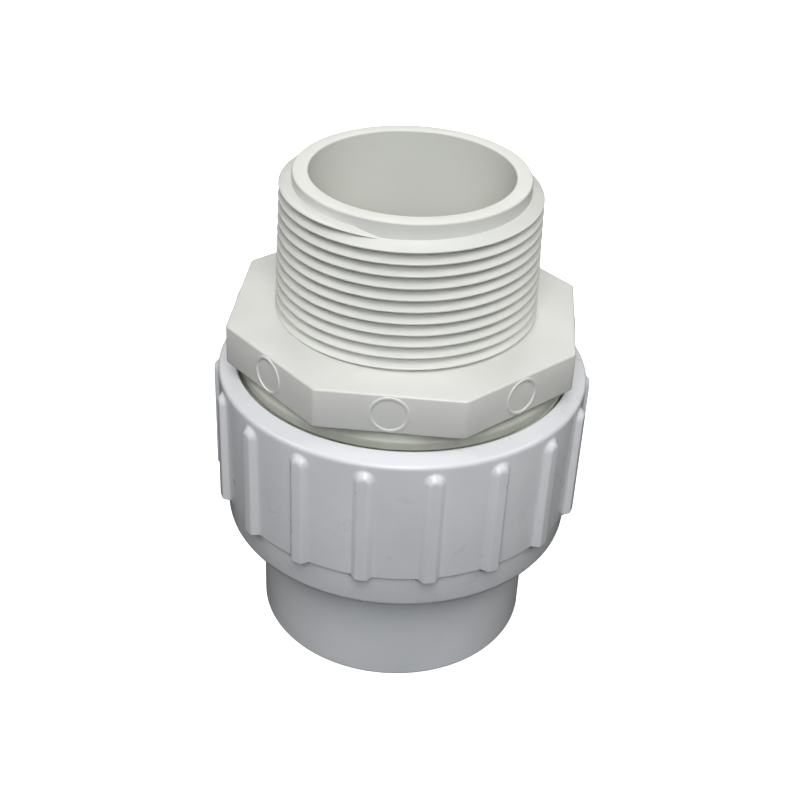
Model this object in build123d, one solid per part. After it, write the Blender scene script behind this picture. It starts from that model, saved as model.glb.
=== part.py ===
from build123d import *
import os
from math import atan, cos, degrees, radians, tan

# Pipe union, 1-1/2 inch male pipe thread by 1-1/2 inch solvent socket, in PVC.
# Millimetres. +Z runs up the pipe axis, and z = 0 is the foot of the socket half,
# which is the face that the union stands on. The nut is tight and the halves meet.

# ---- socket half ----
HUB_RADIUS = 27.0
HUB_FOOT_ROUND = 0.8
SOCKET_RADIUS = 24.165  # 1.903 inch across, the mean of the mouth and the stop
SOCKET_DEPTH = 27.8
SOCKET_LEAD_IN = 0.4
WATERWAY_RADIUS = 20.45
FLANGE_RADIUS = 29.7
FLANGE_UNDERSIDE = 29.6
FLANGE_EDGE_ROUND = 0.5
JOINT_FACE = 36.2  # height at which the two halves meet

# ---- union nut ----
NUT_FOOT = 24.0
NUT_LEDGE = 31.9
NUT_SHOULDER = 57.2  # outer edge of the sloping rim
NUT_MOUTH = 58.5  # inner edge of the sloping rim
NUT_MOUTH_RADIUS = 32.2
NUT_SHOULDER_RADIUS = 35.4
NUT_BAND_FOOT_RADIUS = 35.1
NUT_COLLAR_RADIUS = 34.6
NUT_FOOT_RADIUS = 34.0
NUT_FOOT_ROUND = 1.6
NUT_BORE_CLEARANCE = 0.35
MOUTH_CHAMFER_DEPTH = 1.4
NUT_SHOULDER_ROUND = 0.6

# ---- grip ribs on the nut ----
RIB_COUNT = 18
RIB_RADIUS = 36.45
RIB_BASE_WIDTH = 4.2
RIB_CREST_WIDTH = 2.8
RIB_CREST_ROUND = 0.6
RIB_TOP = 55.8
RIB_TOP_RUN = 1.8  # height over which a rib dies into the band
FIRST_RIB_ANGLE = -159.2

# ---- union thread, right hand, between the nut and the threaded half ----
UNION_PITCH = 25.4 / 6
UNION_CREST_RADIUS = 31.3  # male thread
UNION_ROOT_RADIUS = 29.85
UNION_CREST_WIDTH = 1.3
UNION_ROOT_WIDTH = 2.6
UNION_CLEARANCE = 0.3  # on radius and along the axis
UNION_THREAD_FOOT = 40.0  # middle of the male thread where it starts
UNION_MALE_TURNS = 4
UNION_NUT_TURNS = 3

# ---- threaded half ----
TOP = 96.6
NOSE_RADIUS = 21.43
NOSE_EDGE_ROUND = 0.35
BORE_RADIUS = 18.5
BORE_STEP_TOP = 61.0
BORE_STEP_FOOT = 53.0
COLLAR_TOP = 69.5
COLLAR_FOOT = 61.7
COLLAR_ACROSS_FLATS = 63.5
COLLAR_CORNER_ROUND = 1.2
COLLAR_EDGE_ROUND = 0.4
COLLAR_FLAT_ANGLE = -93.4  # direction in which one flat looks
NECK_RADIUS = 30.2
NECK_FOOT = 60.5
SHOULDER_FOOT = 59.6
LEAD_CHAMFER = 0.8

# ---- raised rings on the flats of the collar ----
RING_RADIUS = 3.3
RING_LINE = 0.6
RING_HEIGHT = 0.22

# ---- 1-1/2 inch tapered pipe thread, 11-1/2 to the inch ----
PIPE_PITCH = 25.4 / 11.5
PIPE_CREST_RADIUS = 23.69  # at the top of the union
PIPE_TAPER = 1 / 32  # growth of the radius per millimetre downwards
PIPE_THREAD_HEIGHT = 0.8 * PIPE_PITCH
PIPE_CREST_WIDTH = 0.25
PIPE_ROOT_WIDTH = 2.05
PIPE_THREAD_TOP = 94.6
PIPE_THREAD_TURNS = 12
PIPE_END_ANGLE = -96  # direction in which the thread runs out at the top
PIPE_RUN_OUT = 0.15  # share of a turn over which it runs out

# ---- O-ring, 47.2 mm inside by 3.53 mm thick, squeezed into its groove ----
GROOVE_INNER_RADIUS = 23.3
GROOVE_OUTER_RADIUS = 27.8
GROOVE_DEPTH = 2.75
SEAL_INNER_RADIUS = 23.48
SEAL_WIDTH = 4.15

SUNK = 0.15  # how far the foot of a thread runs into its core


def turned(*points):
    """Solid of revolution about Z from (radius, height) points."""
    return revolve(Plane.XZ * make_face(Polyline(*points, close=True)), Axis.Z)


def rounded(solid, radius, *rims):
    """Fillets the circular edges that lie at the given (radius, height) rims."""
    edges = []
    for rim_radius, height in rims:
        rings = solid.edges().filter_by(GeomType.CIRCLE)
        near = [
            ring for ring in rings
            if abs(ring.radius - rim_radius) < 0.01 and abs(ring.center().Z - height) < 0.01
        ]
        edges.extend(near)
    return fillet(edges, radius)


def thread_turn(start, end, share, pitch):
    """One turn, or a share of it, of a ridge from one section at +X up to another."""
    climb = share * pitch
    rails = []
    for (radius, foot), (end_radius, _) in zip(start, end):
        cone_angle = degrees(atan((end_radius - radius) / climb))
        slant_pitch = pitch / cos(radians(cone_angle))
        rails.append(Edge.make_helix(slant_pitch, climb, radius, (0, 0, foot), angle=cone_angle))
    following = rails[1:] + rails[:1]
    sides = [Face.make_surface_from_curves(a, b) for a, b in zip(rails, following)]
    ends = [Face(Wire.make_polygon([rail @ end for rail in rails])) for end in (0, 1)]
    return Solid(Shell(sides + ends))


def thread_ridge(profile, turns, pitch, taper=0.0, run_out=0.0):
    """Right-hand thread ridge in pieces of a turn, from +X upwards, its end run out."""
    def section(turn):
        climb = turn * pitch
        return [(radius - taper * climb, foot + climb) for radius, foot in profile]

    whole = turns - 1 if run_out else turns
    pieces = [
        thread_turn(section(turn), section(turn + 1), 1, pitch)
        for turn in range(whole)
    ]
    if run_out:
        fading = turns - run_out
        pieces.append(thread_turn(section(whole), section(fading), fading - whole, pitch))
        root = section(turns)[0][0] + SUNK / 10
        sunk = [(min(radius, root), foot) for radius, foot in section(turns)]
        last = thread_turn(section(fading), sunk, run_out, pitch)
        pieces.append(Rot(0, 0, 360 * fading) * last)
    return pieces


def ridge_profile(base, tip, base_width, tip_width, height):
    """Section of a ridge that stands from base to tip, its foot sunk in its core."""
    sunk = SUNK if base < tip else -SUNK
    slope = (base_width - tip_width) / 2 / abs(tip - base)
    half_foot = base_width / 2 + SUNK * slope
    return [
        (base - sunk, height - half_foot),
        (tip, height - tip_width / 2),
        (tip, height + tip_width / 2),
        (base - sunk, height + half_foot),
    ]


def socket_half():
    """Lower half: solvent socket, stop, and the flange that the nut holds."""
    body = turned(
        (SOCKET_RADIUS + SOCKET_LEAD_IN, 0),
        (HUB_RADIUS, 0),
        (HUB_RADIUS, FLANGE_UNDERSIDE),
        (FLANGE_RADIUS, FLANGE_UNDERSIDE),
        (FLANGE_RADIUS, JOINT_FACE),
        (WATERWAY_RADIUS, JOINT_FACE),
        (WATERWAY_RADIUS, SOCKET_DEPTH),
        (SOCKET_RADIUS, SOCKET_DEPTH),
        (SOCKET_RADIUS, SOCKET_LEAD_IN),
    )
    body = rounded(body, HUB_FOOT_ROUND, (HUB_RADIUS, 0))
    return rounded(body, FLANGE_EDGE_ROUND, (FLANGE_RADIUS, JOINT_FACE))


def grip_rib():
    """One grip rib at +X, its top end curving back into the band."""
    inside = NUT_BAND_FOOT_RADIUS - 1
    with BuildSketch() as section:
        with BuildLine():
            Polyline(
                (inside, -RIB_BASE_WIDTH / 2),
                (NUT_BAND_FOOT_RADIUS, -RIB_BASE_WIDTH / 2),
                (RIB_RADIUS, -RIB_CREST_WIDTH / 2),
                (RIB_RADIUS, RIB_CREST_WIDTH / 2),
                (NUT_BAND_FOOT_RADIUS, RIB_BASE_WIDTH / 2),
                (inside, RIB_BASE_WIDTH / 2),
                close=True,
            )
        make_face()
        fillet(section.vertices().group_by(Axis.X)[-1], RIB_CREST_ROUND)
    bar = Pos(0, 0, NUT_LEDGE) * extrude(section.sketch, RIB_TOP - NUT_LEDGE)
    depth = RIB_RADIUS - inside
    rise = RIB_TOP - RIB_TOP_RUN
    outline = [
        Line((inside, NUT_LEDGE), (RIB_RADIUS, NUT_LEDGE)),
        Line((RIB_RADIUS, NUT_LEDGE), (RIB_RADIUS, rise)),
        EllipticalCenterArc((inside, rise), depth, RIB_TOP_RUN, start_angle=0, arc_size=90),
        Line((inside, RIB_TOP), (inside, NUT_LEDGE)),
    ]
    dome = revolve(Plane.XZ * make_face(outline), Axis.Z)
    return bar & dome


def union_nut():
    """Nut with a lip below, thread inside, plain collar and grip ribs outside."""
    cavity = UNION_CREST_RADIUS + UNION_CLEARANCE
    bore = HUB_RADIUS + NUT_BORE_CLEARANCE
    body = turned(
        (bore, NUT_FOOT),
        (NUT_FOOT_RADIUS, NUT_FOOT),
        (NUT_COLLAR_RADIUS, NUT_LEDGE),
        (NUT_BAND_FOOT_RADIUS, NUT_LEDGE),
        (NUT_SHOULDER_RADIUS, NUT_SHOULDER),
        (NUT_MOUTH_RADIUS, NUT_MOUTH),
        (cavity, NUT_MOUTH - MOUTH_CHAMFER_DEPTH),
        (cavity, FLANGE_UNDERSIDE),
        (bore, FLANGE_UNDERSIDE),
    )
    body = rounded(body, NUT_FOOT_ROUND, (NUT_FOOT_RADIUS, NUT_FOOT))
    body = rounded(body, NUT_SHOULDER_ROUND, (NUT_SHOULDER_RADIUS, NUT_SHOULDER))
    tip = UNION_ROOT_RADIUS + UNION_CLEARANCE
    base = UNION_CREST_RADIUS + UNION_CLEARANCE
    slope = (UNION_ROOT_WIDTH - UNION_CREST_WIDTH) / (UNION_CREST_RADIUS - UNION_ROOT_RADIUS)
    gap = UNION_PITCH - UNION_ROOT_WIDTH - 2 * UNION_CLEARANCE
    tip_width = gap + UNION_CLEARANCE * slope
    base_width = tip_width + (base - tip) * slope
    middle = UNION_THREAD_FOOT + UNION_PITCH / 2
    profile = ridge_profile(base, tip, base_width, tip_width, middle)
    ridge = thread_ridge(profile, UNION_NUT_TURNS, UNION_PITCH)
    ribs = [
        Rot(0, 0, FIRST_RIB_ANGLE + index * 360 / RIB_COUNT) * grip_rib()
        for index in range(RIB_COUNT)
    ]
    return body + ridge + ribs


def wrench_collar():
    """Octagon with rounded corners and edges, one flat at the flat angle."""
    across_corners = COLLAR_ACROSS_FLATS / 2 / cos(radians(22.5))
    octagon = RegularPolygon(across_corners, 8)
    octagon = fillet(octagon.vertices(), COLLAR_CORNER_ROUND)
    collar = Pos(0, 0, COLLAR_FOOT) * extrude(octagon, COLLAR_TOP - COLLAR_FOOT)
    rims = collar.faces().sort_by(Axis.Z)[-1].edges() + collar.faces().sort_by(Axis.Z)[0].edges()
    return Rot(0, 0, COLLAR_FLAT_ANGLE + 22.5) * fillet(rims, COLLAR_EDGE_ROUND)


def flat_ring(index):
    """Thin raised ring at the middle of one flat of the collar."""
    outer = Circle(RING_RADIUS + RING_LINE / 2)
    band = outer - Circle(RING_RADIUS - RING_LINE / 2)
    face_distance = COLLAR_ACROSS_FLATS / 2
    ring = extrude(band, RING_HEIGHT + SUNK)
    where = Pos(face_distance - SUNK, 0, (COLLAR_TOP + COLLAR_FOOT) / 2) * Rot(0, 90, 0)
    return Rot(0, 0, COLLAR_FLAT_ANGLE + 45 * index) * where * ring


def pipe_thread():
    """Tapered thread on its core, cut square at both ends."""
    def crest(height):
        return PIPE_CREST_RADIUS + (TOP - height) * PIPE_TAPER

    foot = COLLAR_TOP - 1
    core_depth = PIPE_THREAD_HEIGHT
    core = turned(
        (BORE_RADIUS, foot),
        (crest(foot) - core_depth, foot),
        (crest(PIPE_THREAD_TOP) - core_depth, PIPE_THREAD_TOP),
        (BORE_RADIUS, PIPE_THREAD_TOP),
    )
    middle = PIPE_THREAD_TOP - PIPE_THREAD_TURNS * PIPE_PITCH
    base = crest(middle) - core_depth
    profile = ridge_profile(base, crest(middle), PIPE_ROOT_WIDTH, PIPE_CREST_WIDTH, middle)
    ridge = thread_ridge(profile, PIPE_THREAD_TURNS, PIPE_PITCH, PIPE_TAPER, PIPE_RUN_OUT)
    ridge = [Rot(0, 0, PIPE_END_ANGLE) * piece for piece in ridge]
    length = PIPE_THREAD_TOP - foot
    limit = Pos(0, 0, foot) * Cylinder(
        2 * PIPE_CREST_RADIUS, length, align=(Align.CENTER, Align.CENTER, Align.MIN)
    )
    return (core + ridge) & limit


def threaded_half():
    """Upper half: pipe thread, wrench collar, union thread and the seal groove."""
    body = turned(
        (BORE_RADIUS, TOP),
        (NOSE_RADIUS, TOP),
        (NOSE_RADIUS, COLLAR_TOP - 1),
        (NECK_RADIUS, COLLAR_TOP - 1),
        (NECK_RADIUS, NECK_FOOT),
        (UNION_CREST_RADIUS, SHOULDER_FOOT),
        (UNION_CREST_RADIUS, SHOULDER_FOOT - 1.5),
        (UNION_ROOT_RADIUS, SHOULDER_FOOT - 2.2),
        (UNION_ROOT_RADIUS, JOINT_FACE + LEAD_CHAMFER),
        (UNION_ROOT_RADIUS - LEAD_CHAMFER, JOINT_FACE),
        (GROOVE_OUTER_RADIUS, JOINT_FACE),
        (GROOVE_OUTER_RADIUS, JOINT_FACE + GROOVE_DEPTH),
        (GROOVE_INNER_RADIUS, JOINT_FACE + GROOVE_DEPTH),
        (GROOVE_INNER_RADIUS, JOINT_FACE),
        (WATERWAY_RADIUS, JOINT_FACE),
        (WATERWAY_RADIUS, BORE_STEP_FOOT),
        (BORE_RADIUS, BORE_STEP_TOP),
    )
    body = rounded(body, NOSE_EDGE_ROUND, (NOSE_RADIUS, TOP))
    profile = ridge_profile(
        UNION_ROOT_RADIUS, UNION_CREST_RADIUS, UNION_ROOT_WIDTH, UNION_CREST_WIDTH,
        UNION_THREAD_FOOT,
    )
    ridge = thread_ridge(profile, UNION_MALE_TURNS, UNION_PITCH)
    collar = wrench_collar() - Cylinder(NOSE_RADIUS - 1, 4 * TOP)
    rings = [flat_ring(index) for index in range(8)]
    return body + ridge + collar + rings + pipe_thread()


def o_ring():
    """Seal squeezed flat between the groove and the flange of the socket half."""
    middle = JOINT_FACE + GROOVE_DEPTH / 2
    centre = SEAL_INNER_RADIUS + SEAL_WIDTH / 2
    section = Pos(centre, middle) * SlotOverall(SEAL_WIDTH, GROOVE_DEPTH)
    return revolve(Plane.XZ * section, Axis.Z)


os.makedirs("parts", exist_ok=True)
export_step(socket_half(), "parts/socket_half.step")
export_step(union_nut(), "parts/union_nut.step")
export_step(threaded_half(), "parts/threaded_half.step")
export_step(o_ring(), "parts/o_ring.step")
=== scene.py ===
from math import atan2, cos, hypot, pi, radians, sin, tan, tau

import bmesh
import bpy
from mathutils import Matrix, Vector


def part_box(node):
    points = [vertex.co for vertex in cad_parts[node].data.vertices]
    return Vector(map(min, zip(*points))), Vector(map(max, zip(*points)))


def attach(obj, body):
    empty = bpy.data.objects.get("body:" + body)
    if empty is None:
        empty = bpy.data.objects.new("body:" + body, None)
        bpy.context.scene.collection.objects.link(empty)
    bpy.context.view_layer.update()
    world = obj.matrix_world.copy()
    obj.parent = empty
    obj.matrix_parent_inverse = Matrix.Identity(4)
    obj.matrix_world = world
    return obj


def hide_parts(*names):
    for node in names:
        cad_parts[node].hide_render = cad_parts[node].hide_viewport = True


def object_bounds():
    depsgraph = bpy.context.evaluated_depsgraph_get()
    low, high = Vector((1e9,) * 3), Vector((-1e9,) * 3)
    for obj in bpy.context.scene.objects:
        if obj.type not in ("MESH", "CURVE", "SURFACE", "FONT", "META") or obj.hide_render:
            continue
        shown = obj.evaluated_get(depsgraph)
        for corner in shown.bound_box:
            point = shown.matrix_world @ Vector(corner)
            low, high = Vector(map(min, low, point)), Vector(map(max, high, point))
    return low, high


# White PVC pipe union, 1-1/2 inch pipe thread by solvent socket: four moulded pieces.
# Pieces are modelled in millimetres, +Z up the pipe axis, and scaled to metres when they are
# finished. Heights and overall widths are read from the frame.

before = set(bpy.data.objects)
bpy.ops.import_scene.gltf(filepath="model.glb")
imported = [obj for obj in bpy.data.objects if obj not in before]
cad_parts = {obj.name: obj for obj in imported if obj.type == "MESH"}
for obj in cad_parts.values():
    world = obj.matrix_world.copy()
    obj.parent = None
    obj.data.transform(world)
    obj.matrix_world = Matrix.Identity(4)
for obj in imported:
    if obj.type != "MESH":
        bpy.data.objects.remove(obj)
cad_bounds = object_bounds()

MM = 0.001
TOLERANCE = 0.001  # millimetres or radians within which two places are the same


def box_mm(node):
    """Lowest and highest corner of a CAD node, in millimetres."""
    low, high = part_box(node)
    return low / MM, high / MM


socket_low, socket_high = box_mm("socket_half")
nut_low, nut_high = box_mm("union_nut")
half_low, half_high = box_mm("threaded_half")

# ---- heights shared by the pieces ----
FOOT = socket_low.z
JOINT_FACE = half_low.z
NUT_FOOT = nut_low.z
NUT_MOUTH = nut_high.z
TOP = half_high.z

# ---- socket half ----
HUB_RADIUS = 27.0
SOCKET_RADIUS = 24.165
SOCKET_DEPTH = 27.8
SOCKET_LEAD_IN = 0.4
WATERWAY_RADIUS = 20.45
FLANGE_RADIUS = socket_high.x
FLANGE_UNDERSIDE = 29.6

# ---- union nut ----
NUT_LEDGE = NUT_FOOT + 7.9
NUT_SHOULDER = NUT_MOUTH - 1.3
NUT_MOUTH_RADIUS = 32.2
NUT_SHOULDER_RADIUS = 35.4
NUT_BAND_FOOT_RADIUS = 35.1
NUT_COLLAR_RADIUS = 34.6
NUT_FOOT_RADIUS = 34.0
NUT_BORE_RADIUS = 27.35
NUT_CAVITY_RADIUS = 31.6
MOUTH_CHAMFER = 1.4
NUT_THREAD_RADIUS = 30.15
NUT_THREAD_TURNS = 3
NUT_THREAD_BASE_WIDTH = 1.3
NUT_THREAD_TIP_WIDTH = 0.5

# ---- grip ribs ----
RIB_COUNT = 18
RIB_RADIUS = nut_high.x
RIB_FOOT_HALF = 2.2
RIB_CREST_SHARE = 0.36
RIB_TOP = NUT_SHOULDER - 1.2
RIB_DOME = 2.4
FIRST_RIB_ANGLE = radians(-159.2)
RIB_COLUMNS = 40
CREST_COLUMNS = 3
FLANK_COLUMNS = 12
DOME_ROWS = 9

# ---- union thread ----
UNION_PITCH = 25.4 / 6
UNION_CREST_RADIUS = 31.3
UNION_ROOT_RADIUS = 29.85
UNION_BASE_WIDTH = 2.6
UNION_TIP_WIDTH = 1.3
UNION_THREAD_FOOT = 40.0
UNION_THREAD_TURNS = 4
UNION_STEPS = 120

# ---- threaded half ----
NOSE_RADIUS = 21.43
BORE_RADIUS = 18.5
BORE_STEP_TOP = 61.0
BORE_STEP_FOOT = 53.0
COLLAR_TOP = TOP - 27.1
COLLAR_FOOT = COLLAR_TOP - 7.8
COLLAR_ACROSS_FLATS = 63.5
COLLAR_CORNER_ROUND = 1.2
COLLAR_EDGE_ROUND = 0.4
COLLAR_FLAT_ANGLE = radians(-93.4)
NECK_RADIUS = 30.2
NECK_FOOT = 60.5
SHOULDER_FOOT = 59.6
SHOULDER_LAND = 1.5  # height of the plain band above the union thread
SHOULDER_SLOPE = 0.7
END_CHAMFER = 0.8
CORE_OVERLAP = 1.0  # how far the core of the pipe thread runs into the collar
GROOVE_INNER_RADIUS = 23.3
GROOVE_OUTER_RADIUS = 27.8
GROOVE_DEPTH = 2.75
GAP_SHADE_FOOT = NUT_MOUTH - 5.0  # painted shade in the gap thins out from the full height on the next line down to here
GAP_SHADE_FULL = NUT_MOUTH - 2.0
RING_RADIUS = 3.3
RING_LINE = 0.6
RING_HEIGHT = 0.22
FLAT_COUNT = 8

# ---- tapered pipe thread, 11-1/2 to the inch ----
PIPE_PITCH = 25.4 / 11.5
PIPE_CREST_RADIUS = 23.69
PIPE_TAPER = 1 / 32
PIPE_HEIGHT = 0.8 * PIPE_PITCH
PIPE_THREAD_TOP = TOP - 2.0
PIPE_TURNS = 12
PIPE_END_ANGLE = radians(-96)  # where the middle of the ridge reaches the top plane
PIPE_RUN_OUT = radians(34)  # angle over which it shrinks to a blade and then to nothing
PIPE_BASE_WIDTH = 2.05
PIPE_CREST_WIDTH = 0.25
PIPE_SUNK = 0.7
PIPE_STEPS = 180
FIRST_GROOVE_DEPTH = 1.6 * PIPE_PITCH  # where the core reaches its full radius

TURN_STEPS = 360
SUNK = 0.3  # how far the foot of a ridge runs into its core


# ---- modelling ----

def outline(bm, *corners):
    """Closed outline of (radius, height) corners; a third number rounds the corner."""
    verts = [bm.verts.new((corner[0], 0, corner[1])) for corner in corners]
    for start, end in zip(verts, verts[1:] + verts[:1]):
        bm.edges.new((start, end))
    for vert, corner in zip(verts, corners):
        if len(corner) == 3:
            bmesh.ops.bevel(
                bm, geom=[vert], offset=corner[2], offset_type="OFFSET", segments=5,
                profile=0.5, affect="VERTICES", material=-1,
            )


def turned(*corners, steps=TURN_STEPS):
    """Outline turned once round the pipe axis."""
    bm = bmesh.new()
    outline(bm, *corners)
    bmesh.ops.spin(
        bm, geom=bm.verts[:] + bm.edges[:], cent=(0, 0, 0), axis=(0, 0, 1), angle=tau,
        steps=steps, use_merge=True,
    )
    bmesh.ops.recalc_face_normals(bm, faces=bm.faces)
    return bm


def wound(pitch, turns, steps, *corners):
    """Outline wound upwards as a right-hand ridge of whole turns, its two ends closed."""
    bm = bmesh.new()
    outline(bm, *corners)
    bmesh.ops.spin(
        bm, geom=bm.verts[:] + bm.edges[:], cent=(0, 0, 0), axis=(0, 0, 1), angle=tau,
        steps=steps, dvec=(0, 0, pitch / steps),
    )
    first_turn = bm.verts[:] + bm.edges[:] + bm.faces[:]
    for turn in range(1, turns):
        copy = bmesh.ops.duplicate(bm, geom=first_turn)["geom"]
        lifted = [item for item in copy if isinstance(item, bmesh.types.BMVert)]
        bmesh.ops.translate(bm, verts=lifted, vec=(0, 0, turn * pitch))
    bmesh.ops.remove_doubles(bm, verts=bm.verts, dist=TOLERANCE)
    bmesh.ops.holes_fill(bm, edges=bm.edges, sides=0)
    bmesh.ops.recalc_face_normals(bm, faces=bm.faces)
    return bm


def joined(*shells):
    """Closed shells put together as one mesh."""
    whole = bmesh.new()
    for shell in shells:
        mesh = bpy.data.meshes.new("shell")
        shell.to_mesh(mesh)
        whole.from_mesh(mesh)
        shell.free()
        bpy.data.meshes.remove(mesh)
    return whole


def finished(bm, name, body, material, crease=32):
    """Scales a mesh to metres and makes it the piece that shows for a CAD node."""
    bmesh.ops.scale(bm, vec=(MM, MM, MM), verts=bm.verts)
    for face in bm.faces:
        face.smooth = True
    for edge in bm.edges:
        edge.smooth = edge.calc_face_angle(0) < radians(crease)
    mesh = bpy.data.meshes.new(name)
    bm.to_mesh(mesh)
    bm.free()
    piece = bpy.data.objects.new(name, mesh)
    bpy.context.collection.objects.link(piece)
    mesh.materials.append(material)
    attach(piece, body)
    return piece


def ridge_corners(base, tip, base_width, tip_width, height, rounding, depth=SUNK):
    """Corners of a thread ridge from base to tip, its foot sunk in its core."""
    sunk = depth if base < tip else -depth
    slope = (base_width - tip_width) / 2 / abs(tip - base)
    half_foot = base_width / 2 + depth * slope
    return (
        (base - sunk, height - half_foot),
        (tip, height - tip_width / 2, rounding),
        (tip, height + tip_width / 2, rounding),
        (base - sunk, height + half_foot),
    )


def angle_before(vert, end_angle):
    """Angle from a vertex forward to the end angle, less than a turn."""
    angle = atan2(vert.co.y, vert.co.x)
    return (end_angle - angle + TOLERANCE) % tau - TOLERANCE


def set_radius(vert, radius):
    """Moves a vertex straight out from the pipe axis, or in to it."""
    change = radius / hypot(vert.co.x, vert.co.y)
    vert.co.x *= change
    vert.co.y *= change


def clamped(share):
    """A share held between 0 and 1."""
    return min(max(share, 0), 1)


def socket_half():
    """Hub with its solvent socket and stop, and the flange inside the nut."""
    return turned(
        (SOCKET_RADIUS + SOCKET_LEAD_IN, FOOT, 0.15),
        (HUB_RADIUS, FOOT, 0.8),
        (HUB_RADIUS, FLANGE_UNDERSIDE),
        (FLANGE_RADIUS, FLANGE_UNDERSIDE),
        (FLANGE_RADIUS, JOINT_FACE, 0.5),
        (WATERWAY_RADIUS, JOINT_FACE, 0.3),
        (WATERWAY_RADIUS, SOCKET_DEPTH, 0.3),
        (SOCKET_RADIUS, SOCKET_DEPTH),
        (SOCKET_RADIUS, FOOT + SOCKET_LEAD_IN, 0.15),
    )


def band_radius(height):
    """Radius of the nut's band between its ribs."""
    share = (height - NUT_LEDGE) / (NUT_SHOULDER - NUT_LEDGE)
    return NUT_BAND_FOOT_RADIUS + share * (NUT_SHOULDER_RADIUS - NUT_BAND_FOOT_RADIUS)


def nut_body():
    """The nut without its ribs and thread, with rows where the ribs will curve."""
    dome = [
        RIB_TOP - RIB_DOME + RIB_DOME * sin(pi / 2 * row / DOME_ROWS)
        for row in range(DOME_ROWS + 1)
    ]
    return turned(
        (NUT_BORE_RADIUS, NUT_FOOT, 0.4),
        (NUT_FOOT_RADIUS, NUT_FOOT, 1.6),
        (NUT_COLLAR_RADIUS, NUT_LEDGE),
        (NUT_BAND_FOOT_RADIUS, NUT_LEDGE, 0.22),
        *[(band_radius(height), height) for height in dome],
        (NUT_SHOULDER_RADIUS, NUT_SHOULDER, 0.6),
        (NUT_MOUTH_RADIUS, NUT_MOUTH, 0.25),
        (NUT_CAVITY_RADIUS, NUT_MOUTH - MOUTH_CHAMFER),
        (NUT_CAVITY_RADIUS, FLANGE_UNDERSIDE),
        (NUT_BORE_RADIUS, FLANGE_UNDERSIDE, 0.4),
        steps=RIB_COUNT * RIB_COLUMNS,
    )


def rib_column(column):
    """Distance across a rib, in millimetres, of a column of vertices from its middle."""
    half_space = pi * NUT_BAND_FOOT_RADIUS / RIB_COUNT
    crest = RIB_FOOT_HALF * RIB_CREST_SHARE
    if column <= CREST_COLUMNS:
        return crest * column / CREST_COLUMNS
    if column <= CREST_COLUMNS + FLANK_COLUMNS:
        return crest + (RIB_FOOT_HALF - crest) * (column - CREST_COLUMNS) / FLANK_COLUMNS
    rest = RIB_COLUMNS / 2 - CREST_COLUMNS - FLANK_COLUMNS
    share = (column - CREST_COLUMNS - FLANK_COLUMNS) / rest
    return RIB_FOOT_HALF + (half_space - RIB_FOOT_HALF) * share


def raise_ribs(bm):
    """Gathers the band's columns at the flanks of the ribs and draws the ribs out of it."""
    step = tau / (RIB_COUNT * RIB_COLUMNS)
    band_inside = NUT_COLLAR_RADIUS + 0.05
    band_foot = NUT_LEDGE - 0.01
    band_top = NUT_SHOULDER + 0.2
    for vert in bm.verts:
        radius = hypot(vert.co.x, vert.co.y)
        if radius < band_inside or not band_foot < vert.co.z <= band_top:
            continue
        angle = atan2(vert.co.y, vert.co.x)
        columns = round((angle - FIRST_RIB_ANGLE) / step)
        rib = round(columns / RIB_COLUMNS)
        column = columns - rib * RIB_COLUMNS
        across = rib_column(abs(column))
        lean = across / NUT_BAND_FOOT_RADIUS * (1 if column > 0 else -1)
        angle = FIRST_RIB_ANGLE + rib * tau / RIB_COUNT + lean
        rise = max((vert.co.z - RIB_TOP + RIB_DOME) / RIB_DOME, 0)
        away = hypot(across / RIB_FOOT_HALF, rise)
        flank = clamped((away - RIB_CREST_SHARE) / (1 - RIB_CREST_SHARE))
        proud = RIB_RADIUS - band_radius(vert.co.z)
        stand = proud * (0.5 + 0.5 * cos(pi * flank))
        vert.co.x = (radius + stand) * cos(angle)
        vert.co.y = (radius + stand) * sin(angle)


def union_nut():
    """Nut with ribs outside and a thread inside."""
    body = nut_body()
    bmesh.ops.rotate(
        body, verts=body.verts, cent=(0, 0, 0), matrix=Matrix.Rotation(FIRST_RIB_ANGLE, 3, "Z")
    )
    raise_ribs(body)
    middle = UNION_THREAD_FOOT + UNION_PITCH / 2
    corners = ridge_corners(
        NUT_CAVITY_RADIUS, NUT_THREAD_RADIUS, NUT_THREAD_BASE_WIDTH, NUT_THREAD_TIP_WIDTH,
        middle, 0.15,
    )
    return joined(body, wound(UNION_PITCH, NUT_THREAD_TURNS, UNION_STEPS, *corners))


def crest_radius(height):
    """Radius of the pipe thread's crest, which grows downwards."""
    return PIPE_CREST_RADIUS + (TOP - height) * PIPE_TAPER


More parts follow.
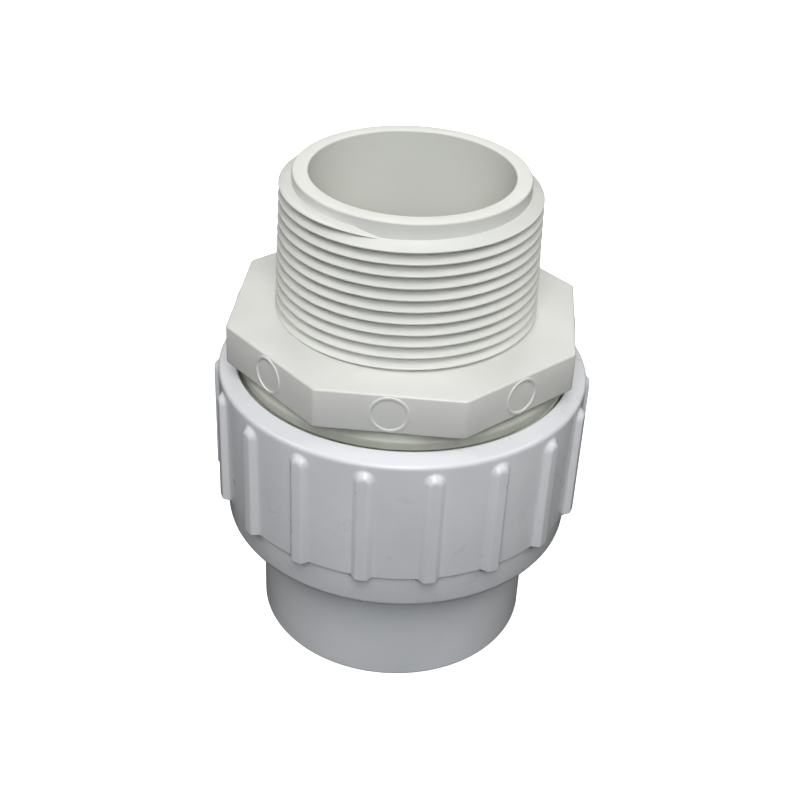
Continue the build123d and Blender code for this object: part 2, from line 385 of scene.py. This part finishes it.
def half_body():
    """Nose, core of the pipe thread, neck, union part with its seal groove, and bore."""
    first_groove = PIPE_THREAD_TOP - FIRST_GROOVE_DEPTH
    first_core = crest_radius(first_groove) - PIPE_HEIGHT
    core_foot = COLLAR_TOP - CORE_OVERLAP
    foot_core = crest_radius(core_foot) - PIPE_HEIGHT
    land_foot = SHOULDER_FOOT - SHOULDER_LAND
    return turned(
        (BORE_RADIUS, TOP, 0.25),
        (NOSE_RADIUS, TOP, 0.35),
        (NOSE_RADIUS, PIPE_THREAD_TOP),
        (first_core, first_groove),
        (foot_core, core_foot),
        (NECK_RADIUS, core_foot),
        (NECK_RADIUS, NECK_FOOT, 0.4),
        (UNION_CREST_RADIUS, SHOULDER_FOOT, 0.3),
        (UNION_CREST_RADIUS, land_foot),
        (UNION_ROOT_RADIUS, land_foot - SHOULDER_SLOPE),
        (UNION_ROOT_RADIUS, JOINT_FACE + END_CHAMFER),
        (UNION_ROOT_RADIUS - END_CHAMFER, JOINT_FACE),
        (GROOVE_OUTER_RADIUS, JOINT_FACE, 0.2),
        (GROOVE_OUTER_RADIUS, JOINT_FACE + GROOVE_DEPTH),
        (GROOVE_INNER_RADIUS, JOINT_FACE + GROOVE_DEPTH),
        (GROOVE_INNER_RADIUS, JOINT_FACE, 0.2),
        (WATERWAY_RADIUS, JOINT_FACE, 0.3),
        (WATERWAY_RADIUS, BORE_STEP_FOOT, 1.0),
        (BORE_RADIUS, BORE_STEP_TOP, 1.0),
    )


def pipe_ridge():
    """Pipe thread: tapered, cut square at its top plane, and run out to a blade there."""
    middle = PIPE_THREAD_TOP - PIPE_TURNS * PIPE_PITCH
    base = PIPE_CREST_RADIUS - PIPE_HEIGHT
    corners = ridge_corners(
        base, PIPE_CREST_RADIUS, PIPE_BASE_WIDTH, PIPE_CREST_WIDTH, middle, 0.11, PIPE_SUNK
    )
    foot_radius, foot_height = corners[0]
    bm = wound(PIPE_PITCH, PIPE_TURNS, PIPE_STEPS, *corners)
    bmesh.ops.rotate(
        bm, verts=bm.verts, cent=(0, 0, 0), matrix=Matrix.Rotation(PIPE_END_ANGLE, 3, "Z")
    )
    for vert in bm.verts:
        radius = hypot(vert.co.x, vert.co.y)
        before = angle_before(vert, PIPE_END_ANGLE)
        last_middle = PIPE_THREAD_TOP - before / tau * PIPE_PITCH
        if vert.co.z > last_middle - PIPE_PITCH / 4:
            blade = clamped(before / PIPE_RUN_OUT)
            last_foot = last_middle + foot_height - middle
            radius = foot_radius + (radius - foot_radius) * blade
            vert.co.z = last_foot + (vert.co.z - last_foot) * blade
        set_radius(vert, radius + (TOP - vert.co.z) * PIPE_TAPER)
    cut = bmesh.ops.bisect_plane(
        bm, geom=bm.verts[:] + bm.edges[:] + bm.faces[:], dist=0.0001,
        plane_co=(0, 0, PIPE_THREAD_TOP), plane_no=(0, 0, 1), clear_outer=True,
    )
    rim = [item for item in cut["geom_cut"] if isinstance(item, bmesh.types.BMEdge)]
    bmesh.ops.edgeloop_fill(bm, edges=rim)
    bmesh.ops.recalc_face_normals(bm, faces=bm.faces)
    return bm


def wrench_collar():
    """Octagon with rounded corners and rims."""
    bm = bmesh.new()
    corner_radius = COLLAR_ACROSS_FLATS / 2 / cos(pi / FLAT_COUNT)
    bmesh.ops.create_circle(bm, cap_ends=True, radius=corner_radius, segments=FLAT_COUNT)
    bmesh.ops.bevel(
        bm, geom=bm.verts[:], offset=COLLAR_CORNER_ROUND * tan(pi / FLAT_COUNT),
        offset_type="OFFSET", segments=6, profile=0.5, affect="VERTICES", material=-1,
    )
    raised = bmesh.ops.extrude_face_region(bm, geom=bm.faces[:], use_keep_orig=True)
    lifted = [item for item in raised["geom"] if isinstance(item, bmesh.types.BMVert)]
    bmesh.ops.translate(bm, verts=lifted, vec=(0, 0, COLLAR_TOP - COLLAR_FOOT))
    bmesh.ops.recalc_face_normals(bm, faces=bm.faces)
    rims = [
        edge for edge in bm.edges if abs(edge.verts[0].co.z - edge.verts[1].co.z) < TOLERANCE
    ]
    bmesh.ops.bevel(
        bm, geom=rims, offset=COLLAR_EDGE_ROUND, offset_type="OFFSET", segments=3,
        profile=0.5, affect="EDGES", material=-1,
    )
    turn = Matrix.Rotation(COLLAR_FLAT_ANGLE - first_flat_angle(bm), 3, "Z")
    bmesh.ops.rotate(bm, verts=bm.verts, cent=(0, 0, 0), matrix=turn)
    bmesh.ops.translate(bm, verts=bm.verts, vec=(0, 0, COLLAR_FOOT))
    return bm


def first_flat_angle(bm):
    """Direction in which the largest upright face of a collar looks."""
    upright = [face for face in bm.faces if abs(face.normal.z) < 0.5]
    widest = max(upright, key=lambda face: face.calc_area())
    return atan2(widest.normal.y, widest.normal.x)


def flat_rings():
    """Plain raised ring on each flat of the collar."""
    bm = bmesh.new()
    outline(
        bm,
        (RING_RADIUS - RING_LINE / 2, -SUNK),
        (RING_RADIUS + RING_LINE / 2, -SUNK),
        (RING_RADIUS + RING_LINE / 2, RING_HEIGHT, 0.18),
        (RING_RADIUS - RING_LINE / 2, RING_HEIGHT, 0.18),
    )
    bmesh.ops.spin(
        bm, geom=bm.verts[:] + bm.edges[:], cent=(0, 0, 0), axis=(0, 0, 1), angle=tau,
        steps=64, use_merge=True,
    )
    bmesh.ops.rotate(bm, verts=bm.verts, cent=(0, 0, 0), matrix=Matrix.Rotation(pi / 2, 3, "Y"))
    where = Vector((COLLAR_ACROSS_FLATS / 2, 0, (COLLAR_TOP + COLLAR_FOOT) / 2))
    bmesh.ops.translate(bm, verts=bm.verts, vec=where)
    bmesh.ops.rotate(
        bm, verts=bm.verts, cent=(0, 0, 0), matrix=Matrix.Rotation(COLLAR_FLAT_ANGLE, 3, "Z")
    )
    bmesh.ops.spin(
        bm, geom=bm.verts[:] + bm.edges[:] + bm.faces[:], cent=(0, 0, 0), axis=(0, 0, 1),
        angle=tau * (FLAT_COUNT - 1) / FLAT_COUNT, steps=FLAT_COUNT - 1, use_duplicate=True,
    )
    bmesh.ops.recalc_face_normals(bm, faces=bm.faces)
    return bm


def threaded_half():
    """Upper half: pipe thread, wrench collar with its rings, and union thread."""
    corners = ridge_corners(
        UNION_ROOT_RADIUS, UNION_CREST_RADIUS, UNION_BASE_WIDTH, UNION_TIP_WIDTH,
        UNION_THREAD_FOOT, 0.2,
    )
    union_ridge = wound(UNION_PITCH, UNION_THREAD_TURNS, UNION_STEPS, *corners)
    return joined(half_body(), pipe_ridge(), wrench_collar(), flat_rings(), union_ridge)


# ---- materials ----

def colour(code):
    """Linear colour of an sRGB hex value."""
    parts = [int(code[place:place + 2], 16) / 255 for place in (0, 2, 4)]
    return [
        part / 12.92 if part <= 0.04045 else ((part + 0.055) / 1.055) ** 2.4
        for part in parts
    ] + [1]


def add(tree, kind, settings):
    """Adds a node. A setting is a property, or a socket's value or the socket that feeds it."""
    node = tree.nodes.new(kind)
    for name, value in settings.items():
        if isinstance(name, str) and hasattr(node, name):
            setattr(node, name, value)
        elif isinstance(value, bpy.types.NodeSocket):
            tree.links.new(value, node.inputs[name])
        else:
            node.inputs[name].default_value = value
    return node


def moulded_pvc(name, main, deep, roughness, zone=None):
    """Rigid PVC, injection moulded: white, faintly clouded, with a fine skin from the mould.

    The filler makes it opaque and a little warm or cool. The mould's blasted walls leave a
    soft satin skin, so lights spread over it, and handling leaves it unevenly polished. The
    grain of that skin is finer than a render shows, so it is drawn shallow and coarser than real.
    A zone function may tint the base colour where shade is painted on the piece.
    """
    material = bpy.data.materials.new(name)
    material.use_nodes = True
    tree = material.node_tree
    tree.nodes.clear()
    place = add(tree, "ShaderNodeTexCoord", {}).outputs["Object"]
    clouds = add(tree, "ShaderNodeTexNoise", {
        "Vector": place, "Scale": 1 / (14 * MM), "Detail": 4, "Roughness": 0.55,
    }).outputs["Fac"]
    cloud_share = add(tree, "ShaderNodeMapRange", {
        "Value": clouds, "From Min": 0.35, "From Max": 0.65,
    }).outputs["Result"]
    base = add(tree, "ShaderNodeMix", {
        "data_type": "RGBA", 0: cloud_share, 6: colour(main), 7: colour(deep),
    }).outputs[2]
    if zone:
        base = zone(tree, place, base)
    handled = add(tree, "ShaderNodeTexNoise", {
        "Vector": place, "Scale": 1 / (6 * MM), "Detail": 3, "Roughness": 0.6,
    }).outputs["Fac"]
    polish = add(tree, "ShaderNodeMapRange", {
        "Value": handled, "From Min": 0.3, "From Max": 0.7,
        "To Min": roughness - 0.04, "To Max": roughness + 0.06,
    }).outputs["Result"]
    skin = add(tree, "ShaderNodeTexNoise", {
        "Vector": place, "Scale": 1 / (0.8 * MM), "Detail": 1, "Roughness": 0.4,
    }).outputs["Fac"]
    normal = add(tree, "ShaderNodeBump", {
        "Height": skin, "Strength": 1, "Distance": 0.002 * MM,
    }).outputs["Normal"]
    shader = add(tree, "ShaderNodeBsdfPrincipled", {
        "Base Color": base, "Roughness": polish, "IOR": 1.53, "Normal": normal,
    })
    add(tree, "ShaderNodeOutputMaterial", {"Surface": shader.outputs["BSDF"]})
    return material


def half_zones(tree, place, base):
    """Painted shade on the threaded half: a greyer bore, where shade falls inside it, and a darker
    olive neck.

    The neck is painted darker in the gap between the wrench collar and the nut, as shade that
    falls there, mottled by a noise.
    """
    flat = add(tree, "ShaderNodeMapping", {"Vector": place, "Scale": (1, 1, 0)}).outputs["Vector"]
    from_axis = add(tree, "ShaderNodeVectorMath", {"operation": "LENGTH", 0: flat}).outputs["Value"]
    # painted shade: the bore is mixed toward a greyer colour, as shade that falls inside it
    bore = add(tree, "ShaderNodeMapRange", {
        "Value": from_axis, "From Min": (BORE_RADIUS + 0.05) * MM,
        "From Max": (BORE_RADIUS + 0.25) * MM, "To Min": 1, "To Max": 0,
    }).outputs["Result"]
    height = add(tree, "ShaderNodeSeparateXYZ", {"Vector": place}).outputs["Z"]
    # painted shade: the neck in the gap between the wrench collar and the nut mouth is mixed toward
    # olive grey, as shade that falls there
    neck = add(tree, "ShaderNodeMapRange", {
        "Value": height, "From Min": (COLLAR_FOOT + 0.3) * MM, "From Max": (COLLAR_FOOT - 0.4) * MM,
    }).outputs["Result"]
    gap = add(tree, "ShaderNodeMapRange", {
        "Value": height, "From Min": GAP_SHADE_FOOT * MM, "From Max": GAP_SHADE_FULL * MM,
    }).outputs["Result"]
    # noise that mottles the painted shade in the gap
    shade_mottle = add(tree, "ShaderNodeTexNoise", {
        "Vector": place, "Scale": 1 / (9 * MM), "Detail": 5, "Roughness": 0.6,
    }).outputs["Fac"]
    shade_mottle_share = add(tree, "ShaderNodeMapRange", {
        "Value": shade_mottle, "From Min": 0.3, "From Max": 0.6, "To Min": 0.55, "To Max": 1,
    }).outputs["Result"]
    neck_gap = add(tree, "ShaderNodeMath", {
        "operation": "MULTIPLY", 0: neck, 1: gap,
    }).outputs["Value"]
    painted_gap_shade = add(tree, "ShaderNodeMath", {
        "operation": "MULTIPLY", 0: neck_gap, 1: shade_mottle_share,
    }).outputs["Value"]
    base = add(tree, "ShaderNodeMix", {
        "data_type": "RGBA", 0: bore, 6: base, 7: colour("CDCEC8"),
    }).outputs[2]
    return add(tree, "ShaderNodeMix", {
        "data_type": "RGBA", 0: painted_gap_shade, 6: base, 7: colour("B1B3A6"),
    }).outputs[2]


def moulded_rubber():
    """EPDM rubber, compression moulded: near black, dull, with a fine even skin."""
    material = bpy.data.materials.new("moulded_epdm_rubber")
    material.use_nodes = True
    tree = material.node_tree
    tree.nodes.clear()
    place = add(tree, "ShaderNodeTexCoord", {}).outputs["Object"]
    bloom = add(tree, "ShaderNodeTexNoise", {
        "Vector": place, "Scale": 1 / (5 * MM), "Detail": 4,
    }).outputs["Fac"]
    base = add(tree, "ShaderNodeMix", {
        "data_type": "RGBA", 0: bloom, 6: colour("1B1B1C"), 7: colour("2B2B2A"),
    }).outputs[2]
    skin = add(tree, "ShaderNodeTexNoise", {
        "Vector": place, "Scale": 1 / (0.4 * MM), "Detail": 2,
    }).outputs["Fac"]
    normal = add(tree, "ShaderNodeBump", {
        "Height": skin, "Strength": 1, "Distance": 0.02 * MM,
    }).outputs["Normal"]
    shader = add(tree, "ShaderNodeBsdfPrincipled", {
        "Base Color": base, "Roughness": 0.62, "IOR": 1.5, "Normal": normal,
    })
    add(tree, "ShaderNodeOutputMaterial", {"Surface": shader.outputs["BSDF"]})
    return material


def studio_floor():
    """White matt paper, lit up so that it stays white in shadow."""
    material = bpy.data.materials.new("studio_paper")
    material.use_nodes = True
    shader = material.node_tree.nodes["Principled BSDF"]
    shader.inputs["Base Color"].default_value = colour("F8F8F8")
    shader.inputs["Roughness"].default_value = 0.9
    shader.inputs["Specular IOR Level"].default_value = 0.1
    shader.inputs["Emission Color"].default_value = colour("FFFFFF")
    shader.inputs["Emission Strength"].default_value = 1.0
    return material


# ---- pieces ----

hub = finished(
    socket_half(), "socket_hub", "socket",
    moulded_pvc("moulded_pvc_hub", "EBEDF0", "E5E7EA", 0.36),
)
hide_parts("socket_half")

nut = finished(
    union_nut(), "ribbed_nut", "nut",
    moulded_pvc("moulded_pvc_nut", "E9EBED", "E4E5E8", 0.30),
)
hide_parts("union_nut")

half = finished(
    threaded_half(), "pipe_thread_half", "thread_end",
    moulded_pvc("moulded_pvc_thread_half", "E2E2DE", "DCDDD7", 0.46, half_zones),
)
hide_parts("threaded_half")

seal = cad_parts["o_ring"]
seal.data.materials.clear()
seal.data.materials.append(moulded_rubber())

# ---- floor, lights and camera ----

FLOOR_SIZE = 12.0
floor_bm = bmesh.new()
bmesh.ops.create_grid(floor_bm, x_segments=1, y_segments=1, size=FLOOR_SIZE / 2)
floor_mesh = bpy.data.meshes.new("floor")
floor_bm.to_mesh(floor_mesh)
floor_bm.free()
floor_mesh.materials.append(studio_floor())
floor = bpy.data.objects.new("floor", floor_mesh)
bpy.context.collection.objects.link(floor)
floor.visible_diffuse = False  # the paper's own light stays off the pieces
floor.visible_glossy = False


def softbox(name, width, height, power, place, target, tint):
    """Soft rectangular light that faces a point."""
    data = bpy.data.lights.new(name, "AREA")
    data.shape = "RECTANGLE"
    data.size = width
    data.size_y = height
    data.energy = power
    data.color = colour(tint)[:3]
    light = bpy.data.objects.new(name, data)
    light.location = place
    light.rotation_euler = (Vector(target) - Vector(place)).to_track_quat("-Z", "Y").to_euler()
    bpy.context.collection.objects.link(light)
    return light


MIDDLE = (cad_bounds[0] + cad_bounds[1]) / 2
softbox("key", 0.5, 0.45, 4.6, (0, -0.57, 0.93), MIDDLE, "FCFDFF")
softbox("front", 0.5, 0.4, 4.6, (0, -0.87, 0.65), MIDDLE, "FAFCFF")
softbox("left", 0.5, 0.5, 2.9, (-0.75, -0.1, 0.8), MIDDLE, "FFFEFA")
softbox("right", 0.5, 0.5, 3.4, (0.75, -0.1, 0.8), MIDDLE, "FFFEFA")
softbox("back", 0.5, 0.5, 2.9, (0, 0.75, 0.8), MIDDLE, "FFFEFA")

world = bpy.data.worlds.new("studio")
world.use_nodes = True
world.node_tree.nodes["Background"].inputs["Color"].default_value = colour("FFFFFF")
world.node_tree.nodes["Background"].inputs["Strength"].default_value = 1.0
world.cycles_visibility.diffuse = False  # a white backdrop that doesn't light the pieces
world.cycles_visibility.glossy = False
bpy.context.scene.world = world

CAMERA_DISTANCE = 0.26446
CAMERA_ELEVATION = radians(32.85)
CAMERA_AIM_HEIGHT = 0.050
CAMERA_PITCH = radians(33.22)
CAMERA_YAW = radians(0.05)
CAMERA_ROLL = radians(2.90)

camera_data = bpy.data.cameras.new("camera")
camera_data.lens = 60.69
camera_data.sensor_width = 36
camera_data.clip_start = 0.01
camera = bpy.data.objects.new("camera", camera_data)
bpy.context.collection.objects.link(camera)
camera_place = Matrix.Translation((
    0,
    -CAMERA_DISTANCE * cos(CAMERA_ELEVATION),
    CAMERA_AIM_HEIGHT + CAMERA_DISTANCE * sin(CAMERA_ELEVATION),
))
yaw = Matrix.Rotation(CAMERA_YAW, 4, "Z")
tilt = Matrix.Rotation(pi / 2 - CAMERA_PITCH, 4, "X")
roll = Matrix.Rotation(CAMERA_ROLL, 4, "Z")
camera.matrix_world = camera_place @ yaw @ tilt @ roll
bpy.context.scene.camera = camera
bpy.context.scene.view_settings.view_transform = "Standard"
